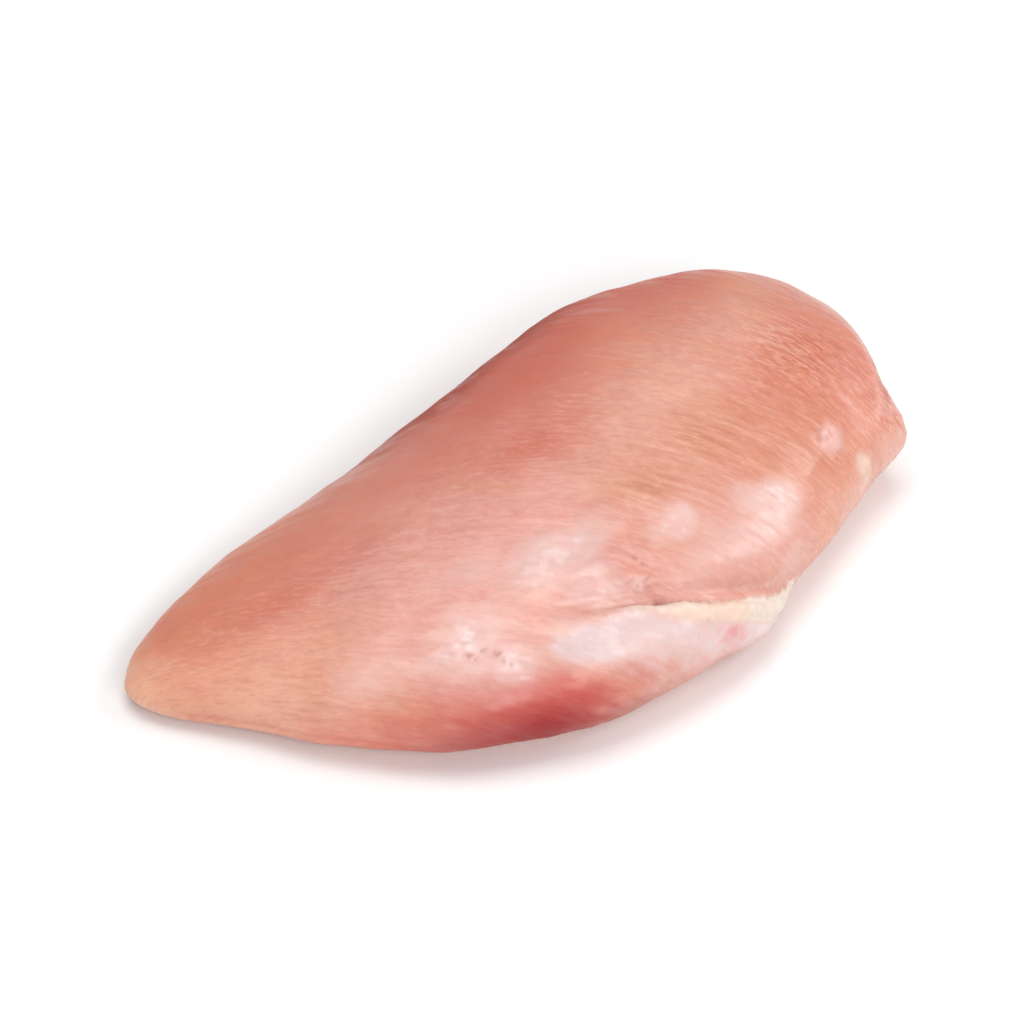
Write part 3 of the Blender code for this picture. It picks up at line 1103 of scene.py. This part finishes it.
class FleshPainter:
    """Lays the flesh's colours over each other in one material."""

    def __init__(self, paints: FleshFinish, nodes: Nodes, way: Value) -> None:
        """Starts with the plain colour of the muscle's dome.

        Args:
            paints: The flesh's paints and patterns.
            nodes: The material's nodes.
            way: The fibres' way.
        """
        self.paints, self.nodes, self.way = paints, nodes, way
        self.look: Value | Colour = paints.dome

    def lay(self, colour: Value | Colour, share: Value) -> None:
        """Lays one colour over the rest."""
        self.look = self.nodes.mix(share, self.look, colour)

    def patch(self, patch: Patch) -> Value:
        """Reads how much of a named part there is."""
        return self.nodes.patch(patch)

    def noise(self, pattern: Pattern) -> Value:
        """Makes a pattern's noise along the fibres."""
        return self.nodes.noise(pattern, self.way)

    def muscle(self) -> None:
        """Lays the muscle's own colours, from the pointed tip to the shoulder."""
        paints, hue = self.paints, self.noise(self.paints.hue)
        self.lay(paints.red_fibre, 0.35 * self.noise(paints.broad).between(0.3, 0.7))
        self.lay(paints.pink, 0.8 * self.patch(Patch.PINK))
        self.lay(paints.tip, 0.8 * self.patch(Patch.TIP))
        self.lay(paints.pale, 0.7 * self.patch(Patch.PALE))
        self.lay(paints.shoulder, 0.7 * self.patch(Patch.SHOULDER))
        self.lay(paints.orange, 0.3 * hue.between(0.5, 0.7))
        self.lay(paints.rose, 0.3 * (1 - hue.between(0.3, 0.5)))
        self.lay(paints.red_fibre, 0.16 * self.noise(paints.blotches).between(0.45, 0.65))

    def parts(self) -> None:
        """Lays the corded part, the dusky far side and its edge (partly painted shade), the tip's end and
        the wrinkles.
        """
        paints, cord = self.paints, self.noise(self.paints.cords)
        corded, wrinkled = self.patch(Patch.CORDED), self.patch(Patch.WRINKLED)
        self.lay(paints.corded, 0.8 * corded)
        self.lay(paints.pale_fibre, 0.22 * corded * cord.between(0.5, 0.65))
        self.lay(paints.cord, 0.35 * corded * (1 - cord.between(0.35, 0.5)))
        # The far side and its edge, darker: partly their own colour, partly painted shade.
        self.lay(paints.far_side, 0.85 * self.patch(Patch.FAR_SIDE))
        self.lay(paints.far_edge, 0.65 * self.patch(Patch.FAR_EDGE))
        self.lay(paints.tip_end, 0.8 * self.patch(Patch.TIP_END))
        self.lay(paints.wrinkled, 0.85 * wrinkled * self.noise(paints.creases).between(0.35, 0.6))
        self.lay(paints.orange, 0.5 * wrinkled * self.noise(paints.blotches).between(0.5, 0.7))

    def fibres(self) -> None:
        """Draws the muscle's fibres, which fade out towards the far side."""
        paints = self.paints
        plain = 1 - 0.85 * self.patch(Patch.CALM)
        clump = self.noise(paints.clumps).between(0.35, 0.65) * plain
        streak, speck = self.noise(paints.streaks), self.noise(paints.specks)
        self.lay(paints.pale_fibre, 0.22 * clump * streak.between(0.48, 0.72))
        self.lay(paints.red_fibre, 0.2 * clump * (1 - streak.between(0.3, 0.5)))
        self.lay(paints.pale_fibre, 0.12 * clump * self.noise(paints.threads).between(0.5, 0.75))
        self.lay(paints.pale_fibre, 0.2 * plain * speck.between(0.5, 0.7))
        self.lay(paints.red_fibre, 0.2 * plain * (1 - speck.between(0.32, 0.5)))

    def film_blood_and_painted_light(self) -> None:
        """Lays the wet film with its painted highlights, the red side with painted shade low down, the
        membrane, the bruises with a little painted shade, the dark marks, and painted shade along the lip
        and in the hollows.
        """
        paints, bloody_and_shaded = self.paints, self.patch(Patch.BLOOD)
        streak, crease = self.noise(paints.streaks), self.noise(paints.creases)
        raw = self.nodes.mix(self.patch(Patch.TIP), paints.raw, paints.ember)
        membrane = self.patch(Patch.MEMBRANE) * (1 - bloody_and_shaded)
        # The pale film, partly a painted highlight.
        self.lay(paints.film_and_highlight, self.patch(Patch.FILM) * (0.45 + 0.6 * self.noise(paints.blotches)))
        self.lay(raw, self.patch(Patch.RAW) * (0.92 - 0.3 * streak))
        # Deep red low down: partly blood, partly painted shade.
        self.lay(paints.blood_and_shade, bloody_and_shaded * (1.2 - 0.4 * streak))
        self.lay(paints.membrane, membrane * (0.45 + 0.5 * crease))
        # Painted highlight where the film shines brightest.
        self.lay(paints.shine, 0.5 * self.patch(Patch.SHINE))
        # Bruises, with one patch that is painted shade.
        self.lay(paints.bruise_and_shade, 0.65 * self.patch(Patch.BRUISE))
        self.lay(paints.mark, 0.6 * self.patch(Patch.MARKS))
        # Red along the lip's groove: partly the flesh's colour, partly painted shade.
        self.lay(paints.raw, 0.3 * self.patch(Patch.LIP_LINE))
        # Painted shade in the hollows and along the lowest rim of the wing side.
        self.lay(paints.hollow_shade, 0.7 * self.patch(Patch.HOLLOW))

    def fat_and_tendon(self) -> None:
        """Lays the fat, the pale strands, the tendon's end and the unseen cut side."""
        paints, blotch, speck = self.paints, self.noise(self.paints.blotches), self.noise(self.paints.specks)
        lobules = 0.3 * blotch.between(0.4, 0.7) + 0.6 * speck.between(0.45, 0.65)
        fat = self.nodes.mix(lobules, paints.fat, paints.fat_shade)
        fat = self.nodes.mix(0.8 * self.patch(Patch.FAT_STRIP), fat, paints.fat_strip)
        self.lay(fat, self.patch(Patch.FAT))
        self.lay(paints.strand, 0.4 * self.patch(Patch.STRANDS))
        self.lay(paints.tendon_knob, 0.8 * self.patch(Patch.TENDON_KNOB))
        self.lay(paints.tendon_heart, 0.5 * self.patch(Patch.TENDON_HEART))
        self.lay(paints.cut_side, self.patch(Patch.CUT_SIDE))

    def paint_all(self) -> Value:
        """Lays all the colours in order.

        Returns:
            The base colour.
        """
        for step in (self.muscle, self.parts, self.fibres, self.film_blood_and_painted_light, self.fat_and_tendon):
            step()
        return self.look


@dataclass(frozen=True)
class TableFinish:
    """A plain white table top with hardly any shine."""

    top: Colour = paint(249, 249, 249)
    speck: Colour = paint(247, 247, 247)
    clouds: Pattern = Pattern((0.4, 0.4, 0.4))
    roughness: float = 0.85

    def material(self) -> bpy.types.Material:
        """Makes the material.

        Returns:
            The material.
        """
        nodes = Nodes("table_white")
        place = nodes.node("ShaderNodeTexCoord", {}, {}, "Object")
        cloud = nodes.noise(self.clouds, place)
        colour = nodes.mix(cloud, self.top, self.speck)
        return nodes.finish({"Base Color": colour, "Roughness": self.roughness})


@dataclass(frozen=True)
class Lamp:
    """An oblong soft light that faces the fillet: where it hangs, its strength in watts and its size."""

    name: str
    direction: Point
    power: float
    width: float
    depth: float
    distance: float = 1300.0

    def build(self) -> bpy.types.Object:
        """Hangs the light.

        Returns:
            The light.
        """
        lamp = bpy.data.lights.new(self.name, "AREA")
        lamp.shape = "RECTANGLE"
        lamp.size, lamp.size_y = self.width * MM, self.depth * MM
        lamp.energy = self.power
        light = bpy.data.objects.new(self.name, lamp)
        towards = Vector(self.direction).normalized()
        light.location = towards * self.distance * MM
        light.rotation_euler = towards.to_track_quat("Z", "Y").to_euler()
        bpy.context.scene.collection.objects.link(light)
        return light


@dataclass
class Studio:
    """The table and the soft light."""

    table_size: float = 6000.0
    table_drop: float = 0.1
    sky: float = 0.42
    lamps: tuple[Lamp, ...] = (
        Lamp("key", (0.03, 0.14, 0.99), 7.5, 900.0, 600.0),
        Lamp("side", (0.72, -0.32, 0.62), 3.6, 500.0, 500.0),
        Lamp("front", (-0.12, -0.78, 0.6), 6.5, 900.0, 500.0),
    )

    def table(self) -> bpy.types.Object:
        """Lays the table top.

        Returns:
            The table top.
        """
        work = bmesh.new()
        bmesh.ops.create_grid(work, x_segments=2, y_segments=2, size=self.table_size * MM / 2)
        data = bpy.data.meshes.new("table")
        work.to_mesh(data)
        work.free()
        data.materials.append(TableFinish().material())
        table = bpy.data.objects.new("table", data)
        table.location.z = -self.table_drop * MM
        bpy.context.scene.collection.objects.link(table)
        return table

    def build(self) -> bpy.types.Object:
        """Sets up the even light from all round, the lamps and the table.

        Returns:
            The table top.
        """
        world = bpy.data.worlds.new("studio")
        world.use_nodes = True
        background = world.node_tree.nodes["Background"]
        background.inputs["Color"].default_value = (1.0, 1.0, 1.0, 1.0)
        background.inputs["Strength"].default_value = self.sky
        bpy.context.scene.world = world
        bpy.context.scene.view_settings.view_transform = "Standard"
        for lamp in self.lamps:
            lamp.build()
        return self.table()


@dataclass
class Camera:
    """The photograph's point of view, through a long lens."""

    turn_deg: float = -33.0
    rise_deg: float = 46.0
    distance: float = 900.0
    aim: Point = (-1.15, 2.96, 16.8)
    pixels_per_mm: float = 4.65
    frame_pixels: int = 1024
    sensor: float = 36.0
    clip_m: tuple[float, float] = (0.01, 20.0)

    def build(self) -> bpy.types.Object:
        """Sets up the camera.

        Returns:
            The camera.
        """
        turn, rise = math.radians(self.turn_deg), math.radians(self.rise_deg)
        back = Vector((math.sin(turn) * math.cos(rise), -math.cos(turn) * math.cos(rise), math.sin(rise)))
        data = bpy.data.cameras.new("camera")
        data.sensor_width = self.sensor
        data.lens = self.pixels_per_mm * self.distance / self.frame_pixels * self.sensor
        data.clip_start, data.clip_end = self.clip_m
        camera = bpy.data.objects.new("camera", data)
        camera.location = (Vector(self.aim) + back * self.distance) * MM
        camera.rotation_euler = (-back).to_track_quat("-Z", "Y").to_euler()
        bpy.context.scene.collection.objects.link(camera)
        bpy.context.scene.camera = camera
        return camera


def main() -> None:
    """Builds the camera, the studio and the fillet in order, and reports each piece."""
    logging.basicConfig(level=logging.INFO, format="%(name)s: %(message)s")
    LOG.info("camera %s", Camera().build().name)
    LOG.info("table %s", Studio().build().name)
    skin = FilletSkin().build()
    skin.data.materials.clear()
    skin.data.materials.append(FleshFinish().material())
    LOG.info("%s: %d points, %d faces", skin.name, len(skin.data.vertices), len(skin.data.polygons))


if __name__ == "__main__":
    main()
